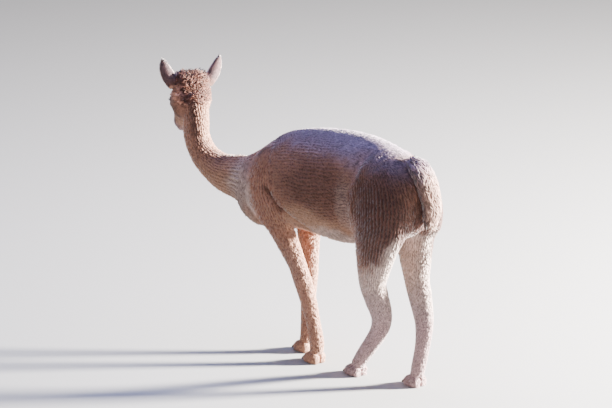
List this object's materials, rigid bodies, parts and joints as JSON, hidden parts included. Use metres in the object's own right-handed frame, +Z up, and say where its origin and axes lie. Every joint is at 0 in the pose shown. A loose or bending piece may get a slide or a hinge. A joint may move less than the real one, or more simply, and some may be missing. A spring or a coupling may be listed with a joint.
{
  "type": "alpaca",
  "caption": "Life-size still model of a shorn fawn alpaca in a slow walk, neck low and head turned away, with pale legs, pricked ears and a curly topknot.",
  "frame": {"origin": "on the floor, under the middle of the box around the whole animal", "axes": "+X the way the body faces, +Y the animal's left, +Z up"},
  "size_m": [1.4104, 0.349, 1.0738],
  "materials": {
    "fleece": "shorn fawn fleece, matte",
    "pale_fleece": "short pale fawn leg hair, matte",
    "eye": "wet dark brown",
    "nail": "dull dark horn"
  },
  "bodies": {
    "root": {"trunk": "fleece", "head": "fleece", "neck": "fleece", "tail": "fleece", "ear_left": "fleece", "eye_left": "eye", "ear_right": "fleece", "eye_right": "eye", "leg_front_left": "pale_fleece", "foot_front_left": "pale_fleece", "nail_front_left_1": "nail", "nail_front_left_2": "nail", "leg_front_right": "pale_fleece", "foot_front_right": "pale_fleece", "nail_front_right_1": "nail", "nail_front_right_2": "nail", "leg_hind_left": "pale_fleece", "foot_hind_left": "pale_fleece", "nail_hind_left_1": "nail", "nail_hind_left_2": "nail", "leg_hind_right": "pale_fleece", "foot_hind_right": "pale_fleece", "nail_hind_right_1": "nail", "nail_hind_right_2": "nail"}
  },
  "joints": []
}
